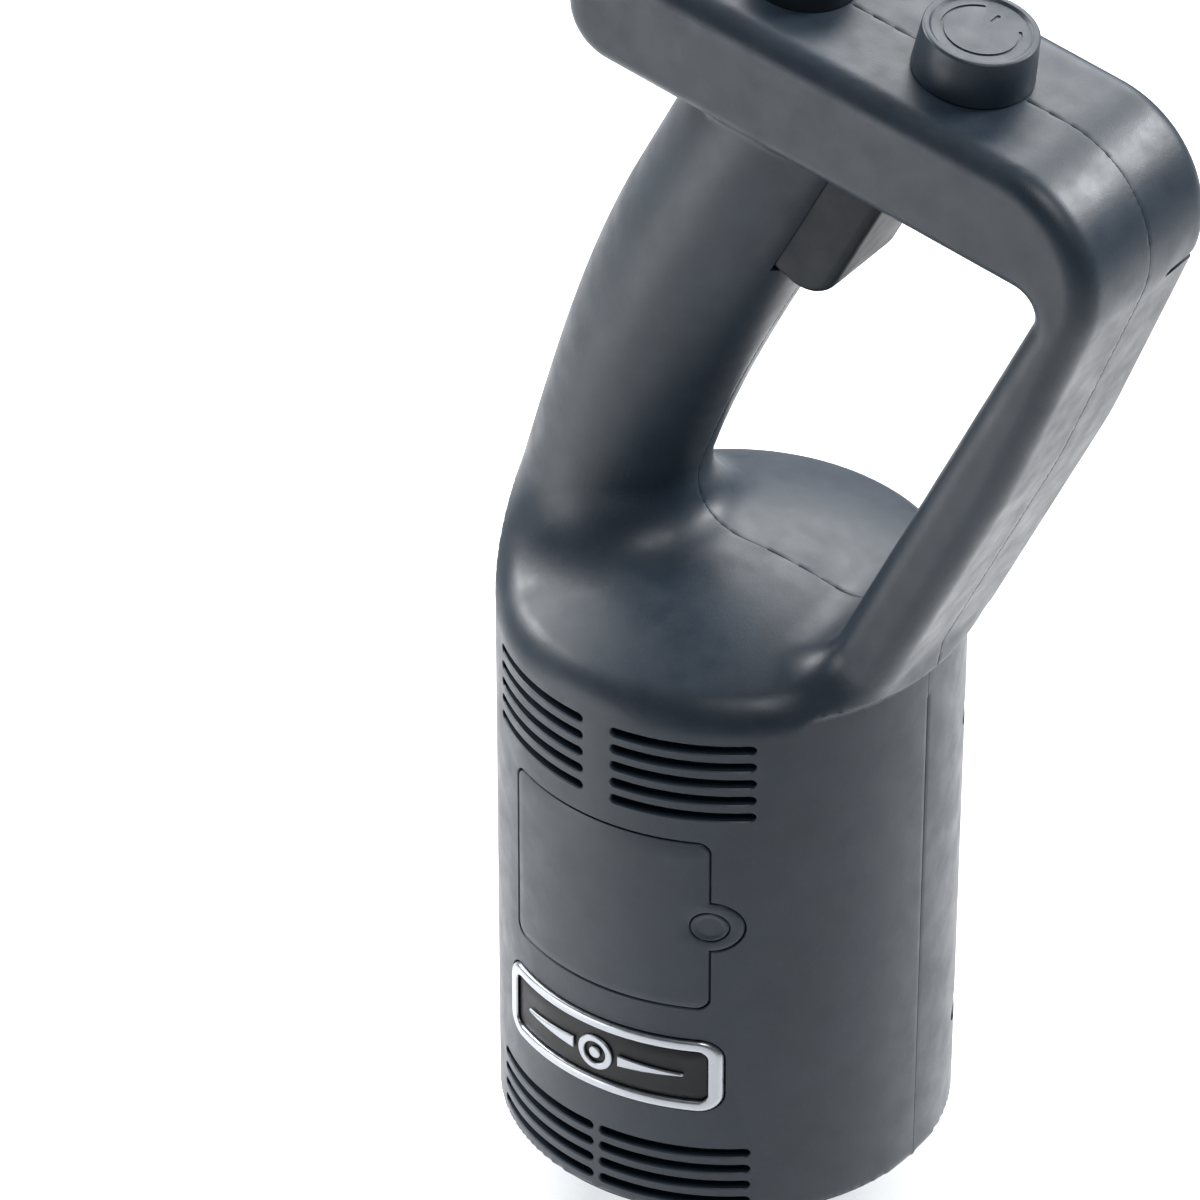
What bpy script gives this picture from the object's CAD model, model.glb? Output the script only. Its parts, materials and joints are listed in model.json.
"""Looks for the hand-held immersion blender, in the CAD frame: metres, +Z up along the drive axis.

Lengths in the tables below are millimetres, with heights measured from the joint between the plastic
housing and the steel housing, as in the CAD source. place() turns them into the frame's metres.
"""
import json
import math

import bmesh
import bpy
import numpy as np
from mathutils import Matrix, Vector
from mathutils.geometry import delaunay_2d_cdt

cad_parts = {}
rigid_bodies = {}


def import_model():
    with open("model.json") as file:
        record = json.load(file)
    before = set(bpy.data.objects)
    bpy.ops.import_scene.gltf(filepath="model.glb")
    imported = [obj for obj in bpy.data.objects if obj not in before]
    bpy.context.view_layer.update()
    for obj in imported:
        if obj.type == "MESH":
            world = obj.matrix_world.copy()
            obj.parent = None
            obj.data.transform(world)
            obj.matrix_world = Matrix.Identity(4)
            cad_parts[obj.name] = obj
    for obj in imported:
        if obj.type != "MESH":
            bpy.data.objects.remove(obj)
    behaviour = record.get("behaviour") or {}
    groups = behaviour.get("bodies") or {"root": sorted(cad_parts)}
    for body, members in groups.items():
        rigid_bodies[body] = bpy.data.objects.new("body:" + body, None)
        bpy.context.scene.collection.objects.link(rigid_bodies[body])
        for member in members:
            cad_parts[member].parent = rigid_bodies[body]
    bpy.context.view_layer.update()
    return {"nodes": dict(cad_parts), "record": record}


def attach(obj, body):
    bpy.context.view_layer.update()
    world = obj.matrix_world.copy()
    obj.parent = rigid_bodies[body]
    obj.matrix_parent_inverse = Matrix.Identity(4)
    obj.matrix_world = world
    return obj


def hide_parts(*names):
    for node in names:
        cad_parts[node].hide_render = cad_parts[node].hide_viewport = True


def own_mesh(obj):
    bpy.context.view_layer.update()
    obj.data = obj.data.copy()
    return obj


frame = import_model()

# ---------------------------------------------------------------- dimensions
ORIGIN = 226.0                     # height of the row frame's origin above the plastic/steel joint
GAP = 0.3

BODY_RADIUS, TAPER = 54.0, 0.0074
CROWN, ARCH, RIM = 158.4, 240.0, 6.0
WALL = 3.0

BAR_TILT = math.radians(9.7)
BAR_UNDER, BAR_THICK = 288.6, 30.1
BAR_END, BAR_END_RADIUS = -31.4, 13.5
LOOP_WIDTH, LOOP_EDGE = 51.2, 6.0
OUTER_CORNER, INNER_CORNER = 28.0, 5.6
STRUT_LEAN, STRUT_REACH, STRUT_HEIGHT = math.radians(25.3), 107.2, 255.0
STRUT_THICK, STRUT_KNEE, KNEE_LEAN, KNEE_RADIUS = 16.7, 216.0, math.radians(21.2), 150.0
STRUT_SPREAD = 1.2

GRIP_LEAN = math.radians(26.7)
GRIP_RADIUS, GRIP_WAIST = 23.5, 20.7
GRIP_TOP, GRIP_FOOT = (1.0, 253.4), (-31.6, 172.0)
GRIP_BLEND, STRUT_BLEND = 17.0, 12.0

VENT_HEIGHT, VENT_PITCH = 2.3, 4.75
VENTS = [(5, 136.0, 3.9, 35.6), (4, 18.6, 0.9, 35.0)]       # rows, top row's height, inner and outer end
COVER = {"half": 26.9, "bottom": 61.2, "top": 109.0, "depth": 2.2, "tab": 6.8, "screw": 3.9}
BADGE = {"half": 30.0, "bottom": 31.3, "top": 51.6, "corner": 5.0, "rim": 2.8, "depth": 1.0, "proud": 0.9}
KNOB = {"x": 62.4, "radius": 14.1, "top": 13.3, "height": 12.0}
LOCK = {"x": 16.6, "radius": 12.8, "height": 9.0, "depth": 8.0, "flange": 1.6}
TRIGGER = {"half": 13.3, "reach": 33.0, "bottom": 1.5, "corner": 9.0, "top_corner": 4.0, "travel": 5.0}
SCREW_RADIUS, SCREW_HEAD, SCREW_SEAT = 1.5, 3.3, 10.3
STEEL = {"wall": 2.0, "radius": 53.0, "end": 52.0, "shoulder": -50.0, "neck": -84.0, "neck_radius": 25.0,
         "bore": 20.5}
COLLAR = {"bore": 18.3, "outer": 21.5, "flange": 25.0, "top": -84.3, "step": -87.8, "bottom": -106.0}
RING = {"outer": 28.0, "top": -91.0, "bottom": -122.0, "flute": 1.2, "flutes": 15, "bore": 23.8}
TUBE_RADIUS, TUBE_WALL, TUBE_TOP, TUBE_BOTTOM = 19.0, 1.5, -118.0, -334.0
BELL = {"radius": 46.0, "rim": -380.0, "wall": 2.5, "collar": 18.0, "window": 7}
BLADE_HEIGHT, BLADE_SPAN, BLADE_BORE = -366.0, 32.0, 4.3
GLAND = {"bore": 4.2, "neck": 7.0, "lip": 8.6, "flange": 9.5}
BOSS_RADIUS = 5.2                  # columns that hold the rear shell's screws
HALF_SEAM = 0.07                   # half of the fine line between the shells


def under_at(x):
    return BAR_UNDER - math.tan(BAR_TILT) * x


def top_at(x):
    return under_at(x) + BAR_THICK / math.cos(BAR_TILT)


def strut_outer_at(z):
    return STRUT_REACH + (z - STRUT_HEIGHT) * math.tan(STRUT_LEAN)


def strut_inner_at(z):
    return strut_outer_at(z) - STRUT_THICK / math.cos(STRUT_LEAN)


def body_radius(z):
    return BODY_RADIUS + TAPER * z


# ---------------------------------------------------------------- outlines
def rounded_outline(corners, step=1.0):
    """Closed polyline with a tangent arc at each corner (x, y, radius)."""
    points = []
    count = len(corners)
    for i, corner in enumerate(corners):
        p = Vector(corner[:2])
        radius = corner[2] if len(corner) > 2 else 0
        if radius == 0:
            points.append(p)
            continue
        back = (Vector(corners[i - 1][:2]) - p).normalized()
        ahead = (Vector(corners[(i + 1) % count][:2]) - p).normalized()
        half = math.acos(max(-1, min(1, back.dot(ahead)))) / 2
        centre = p + (back + ahead).normalized() * (radius / math.sin(half))
        start = p + back * (radius / math.tan(half)) - centre
        sweep = math.pi - 2 * half
        turn = 1 if back.x * ahead.y - back.y * ahead.x < 0 else -1
        steps = max(3, math.ceil(radius * sweep / step))
        for k in range(steps + 1):
            a = turn * sweep * k / steps
            points.append(centre + Vector((
                start.x * math.cos(a) - start.y * math.sin(a),
                start.x * math.sin(a) + start.y * math.cos(a))))
    return np.array([(q.x, q.y) for q in points])


def finer(outline, step):
    """The same closed polyline with no edge longer than step."""
    made = []
    for a, b in zip(outline, np.roll(outline, -1, axis=0)):
        parts = max(1, math.ceil(np.hypot(*(b - a)) / step))
        made += [a + (b - a) * k / parts for k in range(parts)]
    return np.array(made)


def inset(outline, amount):
    """The outline moved inwards along its corner normals; counter-clockwise outlines shrink."""
    before = outline - np.roll(outline, 1, axis=0)
    after = np.roll(outline, -1, axis=0) - outline
    before /= np.linalg.norm(before, axis=1, keepdims=True) + 1e-12
    after /= np.linalg.norm(after, axis=1, keepdims=True) + 1e-12
    n1 = np.stack([-before[:, 1], before[:, 0]], 1)
    n2 = np.stack([-after[:, 1], after[:, 0]], 1)
    bisector = (n1 + n2) / (1 + np.sum(n1 * n2, 1))[:, None]
    return outline + bisector * amount


def rectangle(x0, x1, y0, y1, radius, step=0.5):
    return rounded_outline([(x0, y0, radius), (x1, y0, radius), (x1, y1, radius), (x0, y1, radius)], step)


def circle(x, y, radius, count=48):
    a = np.arange(count) * 2 * math.pi / count
    return np.stack([x + radius * np.cos(a), y + radius * np.sin(a)], 1)


def loop_outline():
    slope, tilt = math.tan(STRUT_LEAN), math.tan(BAR_TILT)
    inner_x = (strut_inner_at(0) + slope * under_at(0)) / (1 + slope * tilt)
    knee = math.tan(KNEE_LEAN)
    at_zero = strut_outer_at(STRUT_KNEE) - knee * STRUT_KNEE
    outer_x = (at_zero + knee * top_at(0)) / (1 + knee * tilt)
    foot = 112.0
    return rounded_outline([
        (BAR_END, under_at(BAR_END), BAR_END_RADIUS),
        (inner_x, under_at(inner_x), INNER_CORNER),
        (strut_inner_at(foot), foot),
        (strut_outer_at(foot), foot),
        (strut_outer_at(STRUT_KNEE), STRUT_KNEE, KNEE_RADIUS),
        (outer_x, top_at(outer_x), OUTER_CORNER),
        (BAR_END, top_at(BAR_END), BAR_END_RADIUS),
    ])


def signed_distance(points, outline):
    """Distance from each (x, z) point to a closed polyline, negative inside."""
    best = np.full(len(points), 1e9)
    inside = np.zeros(len(points), bool)
    px, py = points[:, 0], points[:, 1]
    for (ax, ay), (bx, by) in zip(outline, np.roll(outline, -1, axis=0)):
        ex, ey = bx - ax, by - ay
        t = np.clip(((px - ax) * ex + (py - ay) * ey) / (ex * ex + ey * ey + 1e-12), 0, 1)
        best = np.minimum(best, (px - ax - t * ex) ** 2 + (py - ay - t * ey) ** 2)
        crosses = (ay > py) != (by > py)
        at = ax + (py - ay) * ex / (ey if abs(ey) > 1e-12 else 1e-12)
        inside ^= crosses & (px < at)
    return np.where(inside, -1, 1) * np.sqrt(best)


# ---------------------------------------------------------------- the housing as a distance field
def round_join(a, b, r):
    """Union whose inner corner is filled with a round of radius r."""
    return np.maximum(r, np.minimum(a, b)) - np.hypot(np.maximum(r - a, 0), np.maximum(r - b, 0))


def round_meet(a, b, r):
    """Intersection whose outer corner is rounded with radius r."""
    return np.minimum(-r, np.maximum(a, b)) + np.hypot(np.maximum(r + a, 0), np.maximum(r + b, 0))


def smooth(t):
    t = np.clip(t, 0, 1)
    return t * t * (3 - 2 * t)


def grip_centre(z):
    slope = math.tan(GRIP_LEAN)
    span = GRIP_TOP[1] - GRIP_FOOT[1]
    t = np.maximum(GRIP_TOP[1] - z, 0) / span
    straight = GRIP_TOP[0] - span * slope
    return GRIP_TOP[0] + (z - GRIP_TOP[1]) * slope + t * t * (GRIP_FOOT[0] - straight)


def housing_distance(x, y, z, loop, bottom=0.0):
    """Signed distance to the outside of both shells together; loop is the loop outline's own distance."""
    r = np.hypot(x, y)
    side = r - body_radius(z)
    crown = (z - CROWN + r * r / ARCH) / np.sqrt(1 + (2 * r / ARCH) ** 2)
    body = np.maximum(round_meet(side, crown, RIM), bottom - z)

    centre = grip_centre(z)
    slope = (grip_centre(z + 0.5) - grip_centre(z - 0.5))
    t = smooth((z - CROWN - 10) / (GRIP_TOP[1] - CROWN - 10))
    radius = GRIP_WAIST + (GRIP_RADIUS - GRIP_WAIST) * t
    grip = np.hypot((x - centre) / np.sqrt(1 + slope * slope), y) - radius
    grip = np.maximum(grip, z - BAR_UNDER - BAR_THICK / 2 + math.tan(BAR_TILT) * x)
    grip = np.maximum(grip, 100 - z)
    trunk = np.maximum(round_join(body, grip, GRIP_BLEND), side)

    rim = CROWN - (BODY_RADIUS - RIM) ** 2 / ARCH - RIM
    cone = (r - body_radius(rim) - STRUT_SPREAD * np.maximum(z - rim, 0)) / math.hypot(1, STRUT_SPREAD)
    cone = np.where(z < rim, side, cone)
    bar = round_meet(loop, np.abs(y) - LOOP_WIDTH / 2, LOOP_EDGE)
    bar = round_meet(bar, cone, 3.0)
    blend = np.where(z > 230, 1.2, STRUT_BLEND)
    return np.maximum(round_join(trunk, bar, blend), cone)


# ---------------------------------------------------------------- surface nets
CORNERS = np.array([(i, j, k) for i in (0, 1) for j in (0, 1) for k in (0, 1)])
EDGES = [(a, b) for a in range(8) for b in range(a + 1, 8) if np.abs(CORNERS[a] - CORNERS[b]).sum() == 1]


def surface_net(values, origin, step):
    """Closed quad mesh of the zero level of a grid of distances."""
    inside = values < 0
    n = [s - 1 for s in values.shape]
    total = sum(inside[i:i + n[0], j:j + n[1], k:k + n[2]].astype(np.int8) for i, j, k in CORNERS)
    cells = np.argwhere((total > 0) & (total < 8))
    ids = np.full(n, -1, np.int64)
    ids[tuple(cells.T)] = np.arange(len(cells))
    corner_values = [values[tuple((cells + c).T)] for c in CORNERS]
    place_sum, hits = np.zeros((len(cells), 3)), np.zeros((len(cells), 1))
    for a, b in EDGES:
        va, vb = corner_values[a], corner_values[b]
        crosses = (va < 0) != (vb < 0)
        t = np.where(crosses, va / np.where(crosses, va - vb, 1), 0)[:, None]
        place_sum += np.where(crosses[:, None], CORNERS[a] + t * (CORNERS[b] - CORNERS[a]), 0)
        hits += crosses[:, None]
    verts = (cells + place_sum / hits) * step + np.array(origin)
    quads = []
    for axis in range(3):
        u, v = (axis + 1) % 3, (axis + 2) % 3
        lo, hi = [slice(None)] * 3, [slice(None)] * 3
        lo[axis], hi[axis] = slice(0, -1), slice(1, None)
        crossing = np.argwhere(inside[tuple(lo)] != inside[tuple(hi)])
        limit = np.array(values.shape)
        keep = (crossing[:, u] > 0) & (crossing[:, v] > 0)
        keep &= (crossing[:, u] < limit[u] - 1) & (crossing[:, v] < limit[v] - 1)
        crossing = crossing[keep]
        du, dv = np.eye(3, dtype=int)[u], np.eye(3, dtype=int)[v]
        around = [ids[tuple((crossing - s * du - t * dv).T)] for s, t in ((1, 1), (0, 1), (0, 0), (1, 0))]
        quad = np.stack(around, 1)
        outward = inside[tuple(lo)][tuple(crossing.T)]
        quads.append(np.where(outward[:, None], quad, quad[:, ::-1]))
    return verts, np.concatenate(quads)


def shell_surface(step, wall, bottom):
    """The front half of the housing's skin, moved inwards by wall, as vertices and quads."""
    outline = loop_outline()
    lo = np.array([-60.0, -60.0, bottom - 4.0])
    hi = np.array([118.0, 2.0, 334.0])
    axes = [np.arange(a, b + step, step) for a, b in zip(lo, hi)]
    gx, gz = np.meshgrid(axes[0], axes[2], indexing="ij")
    loop = signed_distance(np.stack([gx.ravel(), gz.ravel()], 1), outline).reshape(gx.shape)
    x, y, z = axes[0][:, None, None], axes[1][None, :, None], axes[2][None, None, :]
    values = housing_distance(x, y, z, loop[:, None, :], bottom) + wall
    values = np.maximum(values, y - 1.0)
    verts, quads = surface_net(values, lo, step)

    def field(p):
        near = signed_distance(p[:, [0, 2]], outline)
        return housing_distance(p[:, 0], p[:, 1], p[:, 2], near, bottom) + wall

    on_skin = (verts[:, 1] < 0.5) & (verts[:, 2] > bottom + wall + 0.6)
    p = verts[on_skin]
    for _ in range(2):
        d = field(p)
        e = 0.05
        g = np.stack([(field(p + e * axis) - d) / e for axis in np.eye(3)], 1)
        p = p - (d / np.maximum(np.sum(g * g, 1), 0.25))[:, None] * g
    verts[on_skin] = p
    return verts, quads


# ---------------------------------------------------------------- meshes
def place(points):
    """Millimetres above the joint to the row frame's metres."""
    p = np.array(points, float).reshape(-1, 3)
    return (p - (0, 0, ORIGIN)) * 0.001


def mesh_object(name, verts, faces, sharp=40.0):
    mesh = bpy.data.meshes.new(name)
    mesh.from_pydata([tuple(v) for v in place(verts)], [], [tuple(int(i) for i in f) for f in faces])
    mesh.validate()
    made = bpy.data.objects.new(name, mesh)
    bpy.context.scene.collection.objects.link(made)
    shade(made, sharp)
    return made


def shade(obj, sharp=40.0):
    mesh = obj.data
    mesh.shade_smooth()
    mesh.set_sharp_from_angle(angle=math.radians(sharp))


def finish_mesh(name, bm, sharp=40.0, weld=0.002):
    """A mesh object from a bmesh in millimetres, welded and with its normals outwards."""
    bmesh.ops.remove_doubles(bm, verts=bm.verts, dist=weld)
    bmesh.ops.recalc_face_normals(bm, faces=bm.faces)
    bm.transform(Matrix.Scale(0.001, 4) @ Matrix.Translation((0, 0, -ORIGIN)))
    mesh = bpy.data.meshes.new(name)
    bm.to_mesh(mesh)
    bm.free()
    made = bpy.data.objects.new(name, mesh)
    bpy.context.scene.collection.objects.link(made)
    shade(made, sharp)
    return made


def apply_modifiers(obj):
    graph = bpy.context.evaluated_depsgraph_get()
    mesh = bpy.data.meshes.new_from_object(obj.evaluated_get(graph))
    obj.modifiers.clear()
    old, obj.data = obj.data, mesh
    bpy.data.meshes.remove(old)


def boolean(obj, other, operation):
    """Carves obj with other, which is then removed."""
    modifier = obj.modifiers.new("cut", "BOOLEAN")
    modifier.operation, modifier.object, modifier.solver = operation, other, "MANIFOLD"
    apply_modifiers(obj)
    mesh = other.data
    bpy.data.objects.remove(other)
    bpy.data.meshes.remove(mesh)


def join_objects(objects):
    """One object from several whose solids don't meet."""
    bm = bmesh.new()
    for o in objects:
        bm.from_mesh(o.data)
    mesh = bpy.data.meshes.new("joined")
    bm.to_mesh(mesh)
    bm.free()
    for o in objects:
        old = o.data
        bpy.data.objects.remove(o)
        bpy.data.meshes.remove(old)
    made = bpy.data.objects.new("joined", mesh)
    bpy.context.scene.collection.objects.link(made)
    return made


def fill_region(bm, loops, lift, spacing):
    """Triangles over the region inside the first loop and outside the others, lifted to 3-D by lift."""
    points, edges = [], []
    for loop in loops:
        start = len(points)
        points += [Vector(p) for p in loop]
        edges += [(start + i, start + (i + 1) % len(loop)) for i in range(len(loop))]
    lo, hi = loops[0].min(0), loops[0].max(0)
    if spacing:
        xs, ys = (np.arange(lo[k] + spacing / 2, hi[k], spacing) for k in (0, 1))
        grid = np.stack([g.ravel() for g in np.meshgrid(xs, ys)], 1)
        for k, loop in enumerate(loops):
            d = signed_distance(grid, loop)
            grid = grid[d < -spacing * 0.3] if k == 0 else grid[d > spacing * 0.3]
        points += [Vector(p) for p in grid]
    verts, _, faces, *_ = delaunay_2d_cdt(points, edges, [], 1, 1e-6)
    flat = np.array([(v.x, v.y) for v in verts])
    middles = np.array([flat[list(f)].mean(0) for f in faces])
    keep = np.ones(len(faces), bool)
    for loop in loops[1:]:
        keep &= signed_distance(middles, loop) > 0
    made = [bm.verts.new(lift(p[0], p[1])) for p in flat]
    for f, k in zip(faces, keep):
        if k:
            bm.faces.new([made[i] for i in f])


def layered(name, loops, profile, lift, spacing=4.0, step=1.2, sharp=40.0):
    """A solid over a flat region: profile is (inset, depth) from its face to its back, lifted by lift."""
    bm = bmesh.new()
    fine = [finer(loop, step) for loop in loops]
    rings = []
    for amount, depth in profile:
        rings.append([[bm.verts.new(lift(p[0], p[1], depth)) for p in inset(loop, amount)] for loop in fine])
    for upper, lower in zip(rings, rings[1:]):
        for a, b in zip(upper, lower):
            for i in range(len(a)):
                j = (i + 1) % len(a)
                bm.faces.new([a[i], a[j], b[j], b[i]])
    for amount, depth in (profile[0], profile[-1]):
        fill_region(bm, [inset(loop, amount) for loop in fine], lambda x, y: lift(x, y, depth), spacing)
    return finish_mesh(name, bm, sharp)


def on_wall(side):
    """Lift for pieces in the motor housing's wall: depth is measured inwards from the surface."""
    def lift(x, z, depth):
        r = body_radius(z) - depth
        return (x, side * math.sqrt(max(r * r - x * x, 0)), z)
    return lift


def flat_lift(origin, tilt=0.0):
    """Lift for pieces in a vertical plane turned by tilt about y: depth is y."""
    c, s = math.cos(tilt), math.sin(tilt)
    return lambda n, a, depth: (origin[0] + n * c + a * s, depth, origin[1] - n * s + a * c)


def lathe(name, profile, facets=96, axis=None, closed=True, sharp=35.0):
    """A turned solid from (radius, height) points; axis is a matrix for its local frame."""
    bm = bmesh.new()
    turns = [2 * math.pi * k / facets for k in range(facets)]
    rings = []
    for r, z in profile:
        if r < 1e-6:
            rings.append([bm.verts.new((0, 0, z))] * facets)
        else:
            rings.append([bm.verts.new((r * math.cos(t), r * math.sin(t), z)) for t in turns])
    pairs = list(zip(rings, rings[1:]))
    if closed and profile[0][0] > 1e-6:
        pairs.append((rings[-1], rings[0]))
    for a, b in pairs:
        for i in range(facets):
            j = (i + 1) % facets
            corners = []
            for v in (a[i], a[j], b[j], b[i]):
                if v not in corners:
                    corners.append(v)
            if len(corners) > 2:
                bm.faces.new(corners)
    if axis is not None:
        bm.transform(axis)
    return finish_mesh(name, bm, sharp)


def round_profile(points, step=0.5):
    """A turned section with arcs at its corners (radius, height, rounding), open at both ends."""
    made = [points[0][:2]]
    for i in range(1, len(points) - 1):
        p = Vector(points[i][:2])
        radius = points[i][2] if len(points[i]) > 2 else 0
        if not radius:
            made.append(tuple(p))
            continue
        back = (Vector(points[i - 1][:2]) - p)
        ahead = (Vector(points[i + 1][:2]) - p)
        back.normalize(), ahead.normalize()
        half = math.acos(max(-1, min(1, back.dot(ahead)))) / 2
        centre = p + (back + ahead).normalized() * (radius / math.sin(half))
        start = p + back * (radius / math.tan(half)) - centre
        sweep = math.pi - 2 * half
        turn = 1 if back.x * ahead.y - back.y * ahead.x < 0 else -1
        steps = max(3, math.ceil(radius * sweep / step))
        for k in range(steps + 1):
            a = turn * sweep * k / steps
            made.append((centre.x + start.x * math.cos(a) - start.y * math.sin(a),
                         centre.y + start.x * math.sin(a) + start.y * math.cos(a)))
    made.append(points[-1][:2])
    return made


def frame_at(x, z, tilt):
    """Local frame on the bar: its +z along the bar's normal."""
    return Matrix.Translation((x, 0, z)) @ Matrix.Rotation(tilt, 4, "Y")


# ---------------------------------------------------------------- materials
class Nodes:
    """Short way to build a material's node tree."""

    def __init__(self, name):
        self.material = bpy.data.materials.new(name)
        self.material.use_nodes = True
        self.tree = self.material.node_tree
        self.tree.nodes.clear()
        self.shader = self.add("ShaderNodeBsdfPrincipled")
        out = self.add("ShaderNodeOutputMaterial")
        self.join(self.shader, "BSDF", out, "Surface")
        self.where = self.add("ShaderNodeTexCoord")

    def add(self, kind, **values):
        node = self.tree.nodes.new(kind)
        for key, value in values.items():
            if key in node.inputs:
                node.inputs[key].default_value = value
            else:
                setattr(node, key, value)
        return node

    def join(self, source, out, target, into):
        self.tree.links.new(source.outputs[out], target.inputs[into])

    def noise(self, scale, detail=3.0, roughness=0.55, stretch=None):
        node = self.add("ShaderNodeTexNoise", Scale=scale, Detail=detail, Roughness=roughness)
        if stretch:
            mapping = self.add("ShaderNodeMapping")
            mapping.inputs["Scale"].default_value = stretch
            self.join(self.where, "Object", mapping, "Vector")
            self.join(mapping, "Vector", node, "Vector")
        else:
            self.join(self.where, "Object", node, "Vector")
        return node

    def ramp(self, source, out, stops):
        node = self.add("ShaderNodeValToRGB")
        ramp = node.color_ramp
        while len(ramp.elements) < len(stops):
            ramp.elements.new(0.5)
        for element, (at, colour) in zip(ramp.elements, stops):
            element.position = at
            element.color = (*colour, 1) if len(colour) == 3 else colour
        self.join(source, out, node, "Fac")
        return node

    def bump(self, source, out, distance, strength=1.0, below=None):
        node = self.add("ShaderNodeBump", Strength=strength, Distance=distance)
        self.join(source, out, node, "Height")
        if below:
            self.join(below, "Normal", node, "Normal")
        return node


def grey(value):
    return (value, value, value)


def moulded(name, colour, roughness, grain=0.00003, spread=0.10, dust=0.35, specular=0.42):
    """Injection-moulded plastic: fine spark grain, faint cloudy tone and a little dry dust."""
    n = Nodes(name)
    cloud = n.noise(55.0, 5.0, 0.62)
    speck = n.noise(900.0, 2.0, 0.6)
    darker = tuple(c * (1 - spread) for c in colour)
    lighter = tuple(c * (1 + spread) for c in colour)
    tone = n.ramp(cloud, "Fac", [(0.32, darker), (0.68, lighter)])
    worn = n.ramp(speck, "Fac", [(0.58, grey(0)), (0.80, grey(dust))])
    mix = n.add("ShaderNodeMix", data_type="RGBA")
    n.join(worn, "Color", mix, "Factor")
    n.tree.links.new(tone.outputs["Color"], mix.inputs[6])
    mix.inputs[7].default_value = (*[min(1, c * 1.5 + 0.004) for c in colour], 1)
    n.tree.links.new(mix.outputs[2], n.shader.inputs["Base Color"])
    gloss = n.ramp(n.noise(140.0, 4.0), "Fac", [
        (0.3, grey(roughness - 0.05)), (0.7, grey(roughness + 0.07))])
    n.join(gloss, "Color", n.shader, "Roughness")
    coarse = n.bump(n.noise(420.0, 2.0), "Fac", grain * 1.2, 0.5)
    fine = n.bump(n.noise(2600.0, 2.0, 0.5), "Fac", grain, 0.8, coarse)
    n.join(fine, "Normal", n.shader, "Normal")
    n.shader.inputs["Specular IOR Level"].default_value = specular
    return n.material


def metal(name, colour, roughness, stretch=(1, 1, 1), scale=300.0, bump=0.00001, spread=0.05):
    """Bare metal whose marks run across the stretched axis."""
    n = Nodes(name)
    n.shader.inputs["Metallic"].default_value = 1.0
    marks = n.noise(scale, 6.0, 0.65, stretch)
    smear = n.noise(28.0, 4.0)
    dull = tuple(c * (1 - spread) for c in colour)
    bright = tuple(min(1, c * (1 + spread)) for c in colour)
    tone = n.ramp(smear, "Fac", [(0.3, dull), (0.7, bright)])
    n.join(tone, "Color", n.shader, "Base Color")
    gloss = n.ramp(marks, "Fac", [
        (0.3, grey(max(0.03, roughness - 0.06))), (0.7, grey(roughness + 0.08))])
    n.join(gloss, "Color", n.shader, "Roughness")
    n.join(n.bump(marks, "Fac", bump, 0.7), "Normal", n.shader, "Normal")
    return n.material


def wound(name, colour):
    """Varnished copper wire laid side by side."""
    n = Nodes(name)
    n.shader.inputs["Metallic"].default_value = 0.9
    wave = n.add("ShaderNodeTexWave", Scale=380.0, Distortion=1.5, Detail=2.0, bands_direction="Z")
    n.join(n.where, "Object", wave, "Vector")
    tone = n.ramp(wave, "Fac", [(0.1, tuple(c * 0.35 for c in colour)), (0.6, colour)])
    n.join(tone, "Color", n.shader, "Base Color")
    gloss = n.ramp(n.noise(80.0), "Fac", [(0.3, grey(0.22)), (0.7, grey(0.4))])
    n.join(gloss, "Color", n.shader, "Roughness")
    n.join(n.bump(wave, "Fac", 0.0002), "Normal", n.shader, "Normal")
    return n.material


SLATE = (0.012, 0.021, 0.033)
BLACK = (0.009, 0.013, 0.018)
looks = {
    "slate_plastic": moulded("slate_plastic", SLATE, 0.43),
    "black_plastic": moulded("black_plastic", BLACK, 0.50, dust=0.15, specular=0.2),
    "stainless": metal("stainless", (0.46, 0.47, 0.48), 0.22, (0.25, 0.25, 6.0)),
    "aluminium": metal("aluminium", (0.50, 0.51, 0.52), 0.34),
    "lamination": metal("lamination", (0.16, 0.17, 0.18), 0.45, (0.2, 0.2, 12.0), 500.0, 0.00005),
    "copper": wound("copper", (0.55, 0.20, 0.07)),
    "brass": metal("brass", (0.50, 0.34, 0.10), 0.30),
    "carbon": moulded("carbon", (0.010, 0.010, 0.012), 0.62),
    "rubber": moulded("rubber", (0.011, 0.012, 0.013), 0.66, grain=0.00005),
    "board_green": moulded("board_green", (0.010, 0.080, 0.030), 0.35),
    "badge_silver": metal("badge_silver", (0.40, 0.42, 0.45), 0.32, scale=700.0, spread=0.03),
    "badge_black": moulded("badge_black", (0.004, 0.005, 0.007), 0.45, 0.00001, dust=0.1, specular=0.3),
}
slot_of = {part["node"]: part["material_slot"] for part in frame["record"]["subparts"]}
for node, obj in frame["nodes"].items():
    obj.data.materials.clear()
    obj.data.materials.append(looks[slot_of[node]])


def settle(obj, body, look, *nodes):
    """Gives a piece its body, its material and the CAD nodes it stands for."""
    obj.data.materials.clear()
    obj.data.materials.append(looks[look])
    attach(obj, body)
    if nodes:
        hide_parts(*nodes)
    return obj


# ---------------------------------------------------------------- shells
cover_mid = (COVER["bottom"] + COVER["top"]) / 2
knob_frame = frame_at(KNOB["x"], top_at(KNOB["x"]), BAR_TILT)
lock_frame = frame_at(LOCK["x"], top_at(LOCK["x"]), BAR_TILT)
gland_frame = frame_at(BAR_END, (under_at(BAR_END) + top_at(BAR_END)) / 2, BAR_TILT)
gland_frame = gland_frame @ Matrix.Rotation(-math.pi / 2, 4, "Y")


def bar_middle(x):
    return (under_at(x) + top_at(x)) / 2


def strut_middle(z):
    return (strut_outer_at(z) + strut_inner_at(z)) / 2


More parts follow.
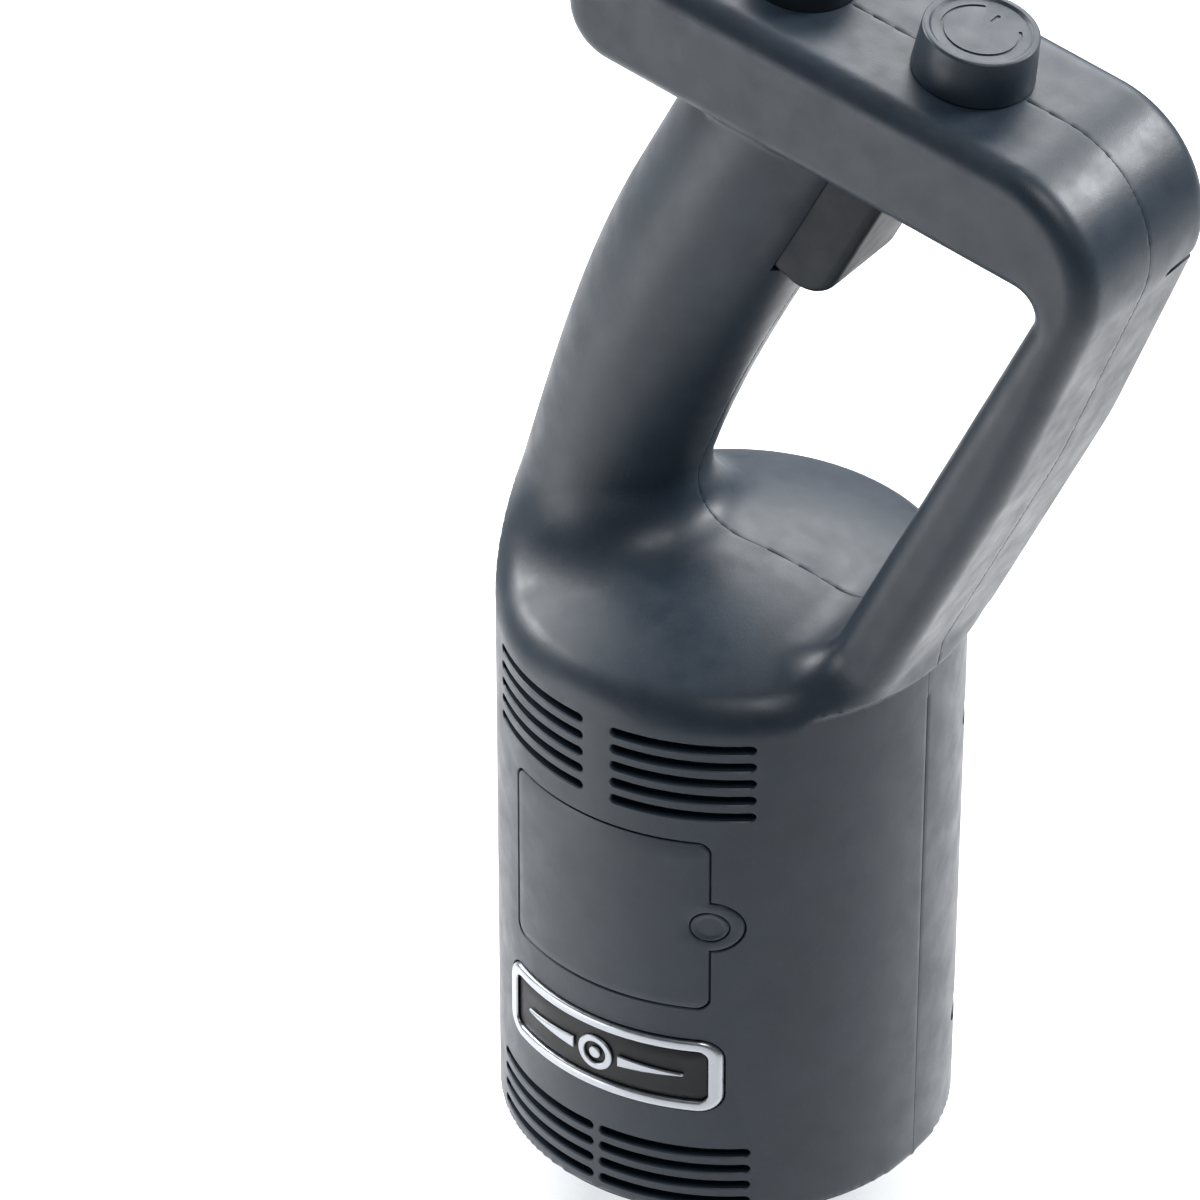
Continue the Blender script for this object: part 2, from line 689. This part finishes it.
screw_x = (KNOB["x"] + LOCK["x"]) / 2 + 2
SCREWS = [(BAR_END + 14.5, bar_middle(BAR_END + 14.5)), (screw_x, top_at(screw_x) - 13),
          (strut_middle(268) + 1, 268), (strut_middle(214), 214), (float(grip_centre(204.0)), 204)]
SCREWS += [(s * (BODY_RADIUS - 8), z) for z in (112, 26) for s in (-1, 1)]


def upright(x, z, depth):
    return (x, depth, z)


def prism(name, outline, y0, y1):
    return layered(name, [outline], [(0, y0), (0, y1)], upright, spacing=None, step=3.0)


def slot_outline(x0, x1, z):
    half = VENT_HEIGHT / 2
    return rectangle(x0, x1, z - half, z + half, half - 0.01, 0.35)


def vent_cutters(side):
    mouth = [(-0.3, -4), (-0.3, -0.02), (0, 0.3), (0, 9)]
    made = []
    for rows, top, inner, outer in VENTS:
        for row in range(rows):
            for hand in (-1, 1):
                x0, x1 = sorted((hand * inner, hand * outer))
                outline = slot_outline(x0, x1, top - row * VENT_PITCH)
                made.append(layered("vent", [outline], mouth, on_wall(side), spacing=None, step=2.0))
    return made


def cover_outline(side, grow=0.0):
    """Brush cover: a rounded rectangle with a round tab on one side."""
    half, low, high = COVER["half"] + grow, COVER["bottom"] - grow, COVER["top"] + grow
    tab = COVER["tab"] + grow
    at = math.asin(grow / tab)
    arc = [(COVER["half"] + tab * math.sin(a + math.pi / 2), cover_mid - tab * math.cos(a + math.pi / 2))
           for a in np.linspace(-math.pi / 2 + at, math.pi / 2 - at, 25)]
    corners = [(-half, low, 3.0), (half, low, 3.0), *arc, (half, high, 3.0), (-half, high, 3.0)]
    outline = rounded_outline(corners, 0.5)
    return outline if side < 0 else (outline * (-1, 1))[::-1]


def badge_outline(grow):
    return rectangle(-BADGE["half"] - grow, BADGE["half"] + grow, BADGE["bottom"] - grow,
                     BADGE["top"] + grow, BADGE["corner"] + grow)


def trigger_ceiling(n):
    lean, up = math.sin(GRIP_LEAN), math.cos(GRIP_LEAN)
    at_centre = (under_at(GRIP_TOP[0]) - GRIP_TOP[1]) / (up + math.tan(BAR_TILT) * lean)
    return at_centre + n * math.tan(GRIP_LEAN - BAR_TILT)


def trigger_outline(inner, grow, ceiling, inner_corner=0.0):
    reach, low = TRIGGER["reach"] + grow, TRIGGER["bottom"] - grow
    return rounded_outline([
        (inner, low, inner_corner), (reach, low, TRIGGER["corner"]),
        (reach, trigger_ceiling(TRIGGER["reach"]) - ceiling, TRIGGER["top_corner"]),
        (inner, trigger_ceiling(inner) - ceiling, inner_corner)], 0.6)


def round_cutter(axis, radius, z0, z1, facets=64):
    return lathe("hole", [(0, z0), (radius, z0), (radius, z1), (0, z1)], facets, axis, closed=False)


def half_space(side):
    y0, y1 = sorted((side * HALF_SEAM, side * 80))
    return prism("half", rectangle(-90, 160, -30, 400, 0.5), y0, y1)


def mirrored(verts, faces, side):
    return (verts, faces) if side < 0 else (verts * (1, -1, 1), faces[:, ::-1])


def bosses():
    made = []
    for x, z in SCREWS:
        turn = Matrix.Translation((x, 0, z)) @ Matrix.Rotation(-math.pi / 2, 4, "X")
        made.append(round_cutter(turn, BOSS_RADIUS, -2, 60, 32))
    return made


def build_shell(side, skin, lining):
    name = "front_shell_skin" if side < 0 else "rear_shell_skin"
    shell = mesh_object(name, *mirrored(*skin, side))
    cavity = mesh_object("cavity", *mirrored(*lining, side))
    if side > 0:
        boolean(cavity, join_objects(bosses()), "DIFFERENCE")
    boolean(shell, cavity, "DIFFERENCE")
    boolean(shell, lathe("spigot", SPIGOT, 96), "UNION")
    boolean(shell, half_space(side), "INTERSECT")
    cutters = vent_cutters(side)
    mouth = [(-0.3, -4), (-0.3, -0.02), (0, 0.3), (0, COVER["depth"] + GAP)]
    cutters.append(layered("pocket", [cover_outline(side, GAP)], mouth, on_wall(side), 4.0))
    if side < 0:
        mouth = [(-0.25, -4), (-0.25, -0.02), (0, 0.25), (0, BADGE["depth"] + GAP)]
        cutters.append(layered("badge_pocket", [badge_outline(GAP)], mouth, on_wall(side), 4.0))
    else:
        for x, z in SCREWS:
            turn = Matrix.Translation((x, 0, z)) @ Matrix.Rotation(-math.pi / 2, 4, "X")
            cutters.append(lathe("screw_hole", [
                (0, -4), (SCREW_RADIUS + GAP, -4), (SCREW_RADIUS + GAP, SCREW_SEAT - GAP),
                (SCREW_HEAD + 0.4, SCREW_SEAT - GAP), (SCREW_HEAD + 0.4, 70), (0, 70)], 32, turn, False))
    boolean(shell, join_objects(cutters), "DIFFERENCE")
    cutters = [
        round_cutter(knob_frame, 5.5, -20, 5),
        round_cutter(lock_frame, LOCK["radius"] + GAP, -20, 6),
        round_cutter(gland_frame, GLAND["neck"] + GAP, -12, 10),
    ]
    width = TRIGGER["half"] + GAP + 0.1
    opening = layered("opening", [trigger_outline(10, GAP + 0.1, 0.2)], [(0, -width), (0, width)],
                      flat_lift(GRIP_TOP, GRIP_LEAN), spacing=None, step=3.0)
    boolean(shell, join_objects([*cutters, opening]), "DIFFERENCE")
    shade(shell, 38)
    return settle(shell, "motor_unit", "slate_plastic", "front_shell" if side < 0 else "rear_shell")


spigot_out = STEEL["radius"] - STEEL["wall"] - 0.6
SPIGOT = [(spigot_out - 2.6, -8), (spigot_out, -8), (spigot_out, 0.05), (BODY_RADIUS - 1, 0.05),
          (BODY_RADIUS - 1, 2.5), (spigot_out - 2.6, 2.5)]
skin = shell_surface(1.0, 0.0, 0.0)
lining = shell_surface(2.5, WALL, -8.0)
for side in (-1, 1):
    build_shell(side, skin, lining)


# ---------------------------------------------------------------- covers and badge
def cover(side):
    end = "front" if side < 0 else "rear"
    lift = on_wall(side)
    centre = -side * COVER["half"]
    hole = circle(centre, cover_mid, COVER["screw"] + 0.25, 40)[::-1]
    panel = layered(f"{end}_cover_panel", [cover_outline(side), hole],
                    [(0.45, 0.0), (0.14, 0.1), (0, 0.4), (0, COVER["depth"])], lift)
    settle(panel, "motor_unit", "slate_plastic", f"{end}_brush_cover")
    rim = circle(centre, cover_mid, COVER["screw"], 48)
    dished = [(1.5, 0.34), (1.1, 0.30), (0.55, 0.05), (0.2, 0.05), (0, 0.25), (0, COVER["depth"])]
    head = layered(f"{end}_cover_screw_head", [rim], dished, lift, 1.2)
    settle(head, "motor_unit", "slate_plastic", f"{end}_cover_screw")


for side in (-1, 1):
    cover(side)

front = on_wall(-1)
rim, proud, depth = BADGE["rim"], BADGE["proud"], BADGE["depth"]
bezel = layered("badge_bezel", [badge_outline(0), badge_outline(-rim)[::-1]], [
    (0.75, -proud), (0.35, -proud + 0.08), (0.05, -proud + 0.4), (0, -proud + 0.6), (0, depth)], front, None)
settle(bezel, "motor_unit", "badge_silver", "badge_frame")
field = layered("badge_field", [badge_outline(-rim - GAP)], [(0.3, 0.0), (0, 0.2), (0, depth)], front, 3.0)
settle(field, "motor_unit", "badge_black", "badge_plate")


def emblem_piece(loops):
    return layered("emblem", loops, [(0.3, -0.8), (0.08, -0.66), (0, -0.45), (0, -GAP)], front, 1.5, 0.6)


badge_mid = (BADGE["bottom"] + BADGE["top"]) / 2
stripes = []
for hand in (-1, 1):
    wing = rounded_outline([(6.2, badge_mid - 1.6), (22, badge_mid - 0.35, 0.3), (22, badge_mid + 0.35, 0.3),
                            (6.2, badge_mid + 1.6)])
    stripes.append(emblem_piece([wing if hand > 0 else (wing * (-1, 1))[::-1]]))
disc = emblem_piece([circle(0, badge_mid, 4.8), circle(0, badge_mid, 3.0, 40)[::-1]])
hub = emblem_piece([circle(0, badge_mid, 1.6, 32)])
emblem = join_objects([*stripes, disc, hub])
emblem.name = "badge_emblem_relief"
shade(emblem, 30)
settle(emblem, "motor_unit", "badge_silver", "badge_emblem")


# ---------------------------------------------------------------- controls
knob_profile = round_profile([
    (3.3, -4), (4.9, -4), (4.9, KNOB["height"] - 3), (KNOB["radius"] - 2, KNOB["height"] - 3),
    (KNOB["radius"] - 2, GAP), (KNOB["radius"], GAP, 0.3), (KNOB["top"], KNOB["height"], 0.7),
    (KNOB["top"] - 1.5, KNOB["height"], 0.3), (KNOB["top"] - 2.1, KNOB["height"] - 0.6, 0.3),
    (0, KNOB["height"] - 0.6)], 0.15)
knob_profile += [(0, KNOB["height"] - 2.2), (3.3, KNOB["height"] - 2.2)]
knob = lathe("speed_knob_cap", knob_profile, 128, knob_frame)


def on_frame(frame_matrix):
    def lift(x, y, depth):
        return frame_matrix @ Vector((x, y, depth))
    return lift


def arc_band(r0, r1, start, end, step=0.3):
    """Closed outline of part of a ring between two angles in degrees, with round ends."""
    middle, half = (r0 + r1) / 2, (r1 - r0) / 2
    points = []
    steps = max(6, int(abs(math.radians(end - start)) * r1 / step))
    for k in range(steps + 1):
        a = math.radians(start + (end - start) * k / steps)
        points.append((r1 * math.cos(a), r1 * math.sin(a)))
    for a0, sign in ((math.radians(end), 1), (math.radians(start), -1)):
        cx, cy = middle * math.cos(a0), middle * math.sin(a0)
        base = a0 if sign > 0 else a0 + math.pi
        for k in range(1, 6):
            t = base + math.pi * k / 6
            points.append((cx + half * math.cos(t), cy + half * math.sin(t)))
        if sign > 0:
            for k in range(steps + 1):
                a = math.radians(end + (start - end) * k / steps)
                points.append((r0 * math.cos(a), r0 * math.sin(a)))
    return np.array(points)


face = KNOB["height"] - 0.6
cut = [(0, face - 0.3), (0, face + 1)]
grooves = [layered("groove", [arc_band(8.4, 9.2, 120, 400)], cut, on_frame(knob_frame), None, 0.8)]
pointer = rounded_outline([(-0.5, 4.0, 0.49), (0.5, 4.0, 0.49), (0.5, 7.4, 0.49), (-0.5, 7.4, 0.49)], 0.2)
grooves.append(layered("groove", [pointer], cut, on_frame(knob_frame), None, 0.8))
boolean(knob, join_objects(grooves), "DIFFERENCE")
shade(knob, 35)
settle(knob, "speed_dial", "slate_plastic", "speed_knob")

cap_profile = round_profile([
    (0, LOCK["height"] - 2.4), (LOCK["radius"] - 2, LOCK["height"] - 2.4),
    (LOCK["radius"] - 2, -LOCK["depth"]),
    (LOCK["radius"] + LOCK["flange"], -LOCK["depth"]),
    (LOCK["radius"] + LOCK["flange"], LOCK["flange"] - LOCK["depth"]),
    (LOCK["radius"], LOCK["flange"] - LOCK["depth"]),
    (LOCK["radius"], LOCK["height"], 2.2), (0, LOCK["height"])], 0.25)
lock_cap = lathe("lock_button_cap", cap_profile, 128, lock_frame, closed=False)
settle(lock_cap, "lock_cap", "black_plastic", "lock_button")

TRIGGER_DROP = TRIGGER["travel"] * math.tan(GRIP_LEAN - BAR_TILT) + GAP + 0.2
STOP_HALF = TRIGGER["half"] + 1.2
STOP_FRONT = math.sqrt(((GRIP_RADIUS - WALL) * math.cos(math.pi / 12) - GAP) ** 2 - STOP_HALF ** 2)


def edge_round(half, radius, steps=6):
    """Profile across a slab of half thickness whose long edges are rounded."""
    turns = [k * math.pi / 2 / steps for k in range(steps + 1)]
    near = [(radius * (1 - math.sin(a)), -half + radius * (1 - math.cos(a))) for a in turns]
    return near + [(i, -d) for i, d in reversed(near)]


trigger_lift = flat_lift(GRIP_TOP, GRIP_LEAN)
finger = layered("trigger_finger", [trigger_outline(STOP_FRONT - 3, 0, TRIGGER_DROP, 3.0)],
                 edge_round(TRIGGER["half"], 2.6), trigger_lift, 4.0, 1.0)
stop_top = trigger_ceiling(STOP_FRONT - 3) - 10.3
stop = rectangle(STOP_FRONT - 2, STOP_FRONT, TRIGGER["bottom"] + 2, stop_top, 0.3)
boolean(finger, layered("stop", [stop], [(0, -STOP_HALF), (0, STOP_HALF)], trigger_lift, None, 3.0), "UNION")
shade(finger, 40)
settle(finger, "trigger_unit", "black_plastic", "trigger")

# The two springs close up as their buttons are pressed.
spring_seat = place(np.array([trigger_lift(-1.7, 15, 0), lock_frame @ Vector((0, 0, -12.5))]))
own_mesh(frame["nodes"]["trigger_spring"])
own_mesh(frame["nodes"]["lock_spring"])

gland_profile = round_profile([
    (GLAND["bore"], -5.5), (GLAND["lip"], -5.5), (GLAND["lip"], -3.3), (GLAND["neck"], -3.3),
    (GLAND["neck"], 0.1), (GLAND["flange"], 0.1, 0.2), (GLAND["flange"], 2.6, 0.9),
    (GLAND["bore"] + 1.2, 3.6, 0.4), (GLAND["bore"], 3.6)], 0.2)
gland = lathe("cord_gland_body", gland_profile, 72, gland_frame)
settle(gland, "motor_unit", "rubber", "cord_gland")

# Screws, with a cross recess in each head.
head_top = SCREW_SEAT + 2.2
screw = lathe("screw", round_profile([
    (0, -11), (SCREW_RADIUS, -9.2, 0.2), (SCREW_RADIUS, SCREW_SEAT), (SCREW_HEAD, SCREW_SEAT, 0.2),
    (SCREW_HEAD, head_top - 0.3, 0.5), (0, head_top)], 0.2), 40, None, closed=False)
blades = [layered("recess", [rectangle(-a, a, -b, b, 0.2, 0.2)], [(0, head_top - 1.3), (0, head_top + 1)],
                  lambda x, y, d: (x, y, d), None, 1.0) for a, b in ((2.1, 0.42), (0.42, 2.1))]
boolean(blades[0], blades[1], "UNION")
boolean(screw, blades[0], "DIFFERENCE")
shade(screw, 35)
origin = Vector(place(np.zeros((1, 3)))[0])
for i, (x, z) in enumerate(SCREWS):
    one = screw if i == 0 else screw.copy()
    one.data = screw.data.copy()
    if i > 0:
        bpy.context.scene.collection.objects.link(one)
    one.name = f"shell_screw_{i + 1}_turned"
for i, (x, z) in enumerate(SCREWS):
    one = bpy.data.objects[f"shell_screw_{i + 1}_turned"]
    turn = Matrix.Translation(Vector((x, 0, z)) / 1000 + origin) @ Matrix.Rotation(-math.pi / 2, 4, "X")
    one.data.transform(turn @ Matrix.Translation(-origin))
    settle(one, "motor_unit", "stainless", f"shell_screw_{i + 1}")


# ---------------------------------------------------------------- steel housing, ring and shaft
def sheet_profile(points, wall, step=0.8):
    """A turned sheet: the outer profile and the same one moved inwards by the wall."""
    outer = np.array(round_profile(points, step))
    along = np.gradient(outer, axis=0)
    along /= np.linalg.norm(along, axis=1, keepdims=True)
    inner = outer + np.stack([along[:, 1], -along[:, 0]], 1) * wall
    return [tuple(p) for p in outer] + [tuple(p) for p in inner[::-1]]


steel = lathe("steel_housing_shell", [
    *sheet_profile([(STEEL["radius"], -GAP), (STEEL["end"], STEEL["shoulder"], 20),
                    (STEEL["end"] - 9.5, STEEL["shoulder"] - 18, 14),
                    (STEEL["neck_radius"] + 5, STEEL["neck"] + 4.5, 5),
                    (STEEL["neck_radius"], STEEL["neck"] + 0.4)], STEEL["wall"])], 160)
collar_disc = lathe("steel_housing_floor", round_profile([
    (STEEL["bore"], STEEL["neck"]), (STEEL["neck_radius"] - 0.6, STEEL["neck"]),
    (STEEL["neck_radius"] + 0.2, STEEL["neck"] + 0.9), (STEEL["neck_radius"] - 1, STEEL["neck"] + 2),
    (STEEL["bore"], STEEL["neck"] + 2)]), 160)
steel = join_objects([steel, collar_disc])
steel.name = "steel_housing_shell"
settle(steel, "motor_unit", "stainless", "steel_housing")

collar = lathe("neck_collar_ring", round_profile([
    (COLLAR["bore"], COLLAR["top"]), (COLLAR["flange"], COLLAR["top"], 0.3),
    (COLLAR["flange"], COLLAR["step"], 0.5), (COLLAR["outer"], COLLAR["step"], 0.3),
    (COLLAR["outer"], COLLAR["bottom"], 0.5), (COLLAR["bore"], COLLAR["bottom"])], 0.2), 96)
settle(collar, "motor_unit", "black_plastic", "neck_collar")


def level(x, y, z):
    return (x, y, z)


def fluted(outer, depth, count, samples=12):
    a = np.arange(count * samples) * 2 * math.pi / (count * samples)
    wave = np.clip(1.6 * np.cos(a * count) + 0.35, -1, 1)
    r = outer - depth * (1 - wave) / 2
    return np.stack([r * np.cos(a), r * np.sin(a)], 1)


ring_top, ring_low = RING["top"], RING["bottom"]
ring = layered("lock_ring_grip", [fluted(RING["outer"], RING["flute"], RING["flutes"])], [
    (0.9, ring_top), (0.3, ring_top - 0.2), (0, ring_top - 0.8),
    (0, ring_low + 0.8), (0.3, ring_low + 0.2), (0.9, ring_low)], level, 6.0, 5.0)
cuff = lathe("cuff", [(20, ring_low - 1.5), (27.0, ring_low - 1.5), (27.4, ring_low - 1.1),
                      (27.4, ring_low + 3), (20, ring_low + 3)], 96)
boolean(ring, cuff, "UNION")
tube_hole = TUBE_RADIUS + 0.6
ring_bore = lathe("bore", [(0, ring_low - 3), (tube_hole, ring_low - 3), (tube_hole, TUBE_TOP),
                           (RING["bore"], TUBE_TOP), (RING["bore"], ring_top + 1), (0, ring_top + 1)],
                  96, closed=False)
boolean(ring, ring_bore, "DIFFERENCE")
shade(ring, 35)
settle(ring, "ring", "black_plastic", "lock_ring")

tube = lathe("shaft_tube_drawn", round_profile([
    (TUBE_RADIUS - TUBE_WALL, TUBE_BOTTOM), (TUBE_RADIUS, TUBE_BOTTOM, 0.2),
    (TUBE_RADIUS, TUBE_TOP, 0.2), (TUBE_RADIUS - TUBE_WALL, TUBE_TOP)], 0.1), 144)
settle(tube, "shaft_unit", "stainless", "shaft_tube")

seat, rim = TUBE_BOTTOM - GAP, BELL["rim"]
bell_outer = [(TUBE_RADIUS + 2.3, seat + BELL["collar"]), (TUBE_RADIUS + 2.9, seat, 2.5),
              (BELL["radius"] * 0.72, seat - 3.5, 12), (BELL["radius"], seat - 13, 9),
              (BELL["radius"], rim, 1.0), (BELL["radius"] - 1.2, rim, 0.4),
              (BELL["radius"] - BELL["wall"], rim + 0.8, 0.4),
              (BELL["radius"] - BELL["wall"], seat - 14.5, 7), (BELL["radius"] * 0.72 - 1.5, seat - 6.2, 10),
              (10.3, seat - 5), (10.3, seat - 1.8), (TUBE_RADIUS + GAP, seat - 1.8),
              (TUBE_RADIUS + GAP, seat + BELL["collar"])]
bell = lathe("bell_guard_spun", round_profile(bell_outer, 0.5), 160)
windows = []
for k in range(4):
    turn = Matrix.Rotation(math.radians(45 + 90 * k), 4, "Z") @ Matrix.Translation((0, 0, rim + 1.5))
    turn = turn @ Matrix.Rotation(math.pi / 2, 4, "Y")
    windows.append(round_cutter(turn, BELL["window"], 31, 61, 64))
boolean(bell, join_objects(windows), "DIFFERENCE")
shade(bell, 35)
settle(bell, "shaft_unit", "stainless", "bell_guard")

blade = lathe("blade_forged", [
    (BLADE_BORE, BLADE_HEIGHT), (7.7, BLADE_HEIGHT), (8, BLADE_HEIGHT + 0.3),
    (8, BLADE_HEIGHT + 4.7), (7.7, BLADE_HEIGHT + 5), (BLADE_BORE, BLADE_HEIGHT + 5)], 72)
for i in range(4):
    span = BLADE_SPAN - 5 if i % 2 else BLADE_SPAN
    bend = Matrix.Rotation(i * math.pi / 2, 4, "Z") @ Matrix.Translation((6, 0, BLADE_HEIGHT + 1.5))
    bend = bend @ Matrix.Rotation(math.radians(-12 if i % 2 else 8), 4, "Y") @ Matrix.Translation((-6, 0, 0))
    outline = rounded_outline([(5.2, -5), (span - 3, -3.5, 2), (span, 3.5, 1), (5.2, 5)], 0.3)
    wing = layered("wing", [outline], [(0.1, 0), (0, 0.1), (0, 0.4), (0.8, 2.0)], on_frame(bend), None, 1.0)
    boolean(blade, wing, "UNION")
shade(blade, 30)
settle(blade, "blade_unit", "stainless", "blade")

hexagon = rounded_outline([(7 * math.cos(math.radians(60 * k)), 7 * math.sin(math.radians(60 * k)), 0.4)
                           for k in range(6)], 0.2)
nut = layered("blade_nut_milled", [hexagon, circle(0, 0, BLADE_BORE, 48)[::-1]], [
    (0.5, BLADE_HEIGHT - 5.3), (0, BLADE_HEIGHT - 4.8), (0, BLADE_HEIGHT - 0.6), (0.3, BLADE_HEIGHT - GAP)],
    level, 3.0, 1.0)
settle(nut, "blade_unit", "stainless", "blade_nut")


# ---------------------------------------------------------------- floor, light and camera
def floor_material():
    n = Nodes("studio_floor")
    tone = n.ramp(n.noise(3.0, 3.0), "Fac", [(0.3, (0.86, 0.865, 0.87)), (0.7, (0.90, 0.90, 0.905))])
    n.join(tone, "Color", n.shader, "Base Color")
    n.join(tone, "Color", n.shader, "Emission Color")
    n.shader.inputs["Emission Strength"].default_value = 0.06
    gloss = n.ramp(n.noise(40.0), "Fac", [(0.3, grey(0.55)), (0.7, grey(0.65))])
    n.join(gloss, "Color", n.shader, "Roughness")
    return n.material


ground = bmesh.new()
corner = [ground.verts.new((x, y, -0.6075)) for x, y in ((-8, -8), (8, -8), (8, 8), (-8, 8))]
ground.faces.new(corner)
floor_mesh = bpy.data.meshes.new("studio_floor")
ground.to_mesh(floor_mesh)
ground.free()
floor = bpy.data.objects.new("studio_floor", floor_mesh)
bpy.context.scene.collection.objects.link(floor)
floor.data.materials.append(floor_material())
bpy.context.scene.view_settings.view_transform = "Standard"

world = bpy.data.worlds.new("studio")
world.use_nodes = True
tree = world.node_tree
tree.nodes.clear()
background = tree.nodes.new("ShaderNodeBackground")
background.inputs["Color"].default_value = (0.88, 0.94, 1.0, 1)
background.inputs["Strength"].default_value = 0.16
sky_out = tree.nodes.new("ShaderNodeOutputWorld")
tree.links.new(background.outputs[0], sky_out.inputs[0])
bpy.context.scene.world = world


def softbox(name, place_at, aim, width, height, power, colour=(1, 1, 1)):
    light = bpy.data.lights.new(name, "AREA")
    light.shape = "RECTANGLE"
    light.size, light.size_y = width, height
    light.energy = power
    light.color = colour
    lamp = bpy.data.objects.new(name, light)
    lamp.location = place_at
    lamp.rotation_euler = (Vector(aim) - Vector(place_at)).to_track_quat("-Z", "Y").to_euler()
    bpy.context.scene.collection.objects.link(lamp)
    return lamp


AWAY = Vector((-0.5736, 0.8192, 0))      # level direction from the camera's side to the far side
UP = Vector((0, 0, 1))
softbox("backdrop", AWAY * 1.30 + UP * 0.8, AWAY * 1.05 - UP * 0.6, 1.9, 1.2, 46)
softbox("key", (0.80, 1.10, 0.92), (0, 0, 0), 0.5, 0.5, 34)
softbox("left", (-1.35, -0.05, 0.72), (0, 0, 0.1), 0.5, 0.6, 24)
softbox("front_left", (-0.80, -1.05, -0.30), (0, 0, -0.05), 0.9, 0.6, 8)
softbox("overhead", (-0.35, 0.95, 1.05), (0, 0, 0), 0.6, 0.6, 4)
softbox("front_right", (0.75, -0.45, 1.20), (0, 0, 0), 0.35, 0.35, 9)

camera = bpy.data.cameras.new("camera")
camera.lens = 330
camera.sensor_width = 36
camera.clip_start, camera.clip_end = 0.05, 50
eye = bpy.data.objects.new("camera", camera)
right, up = Vector((0.817592, 0.575785, 0.003818)), Vector((-0.335331, 0.470745, 0.816059))
back = Vector((0.468077, -0.668484, 0.577956))
eye.matrix_world = Matrix(((right.x, up.x, back.x, 1.171449), (right.y, up.y, back.y, -1.726494),
                           (right.z, up.z, back.z, 1.390848), (0, 0, 0, 1)))
bpy.context.scene.collection.objects.link(eye)
bpy.context.scene.camera = eye
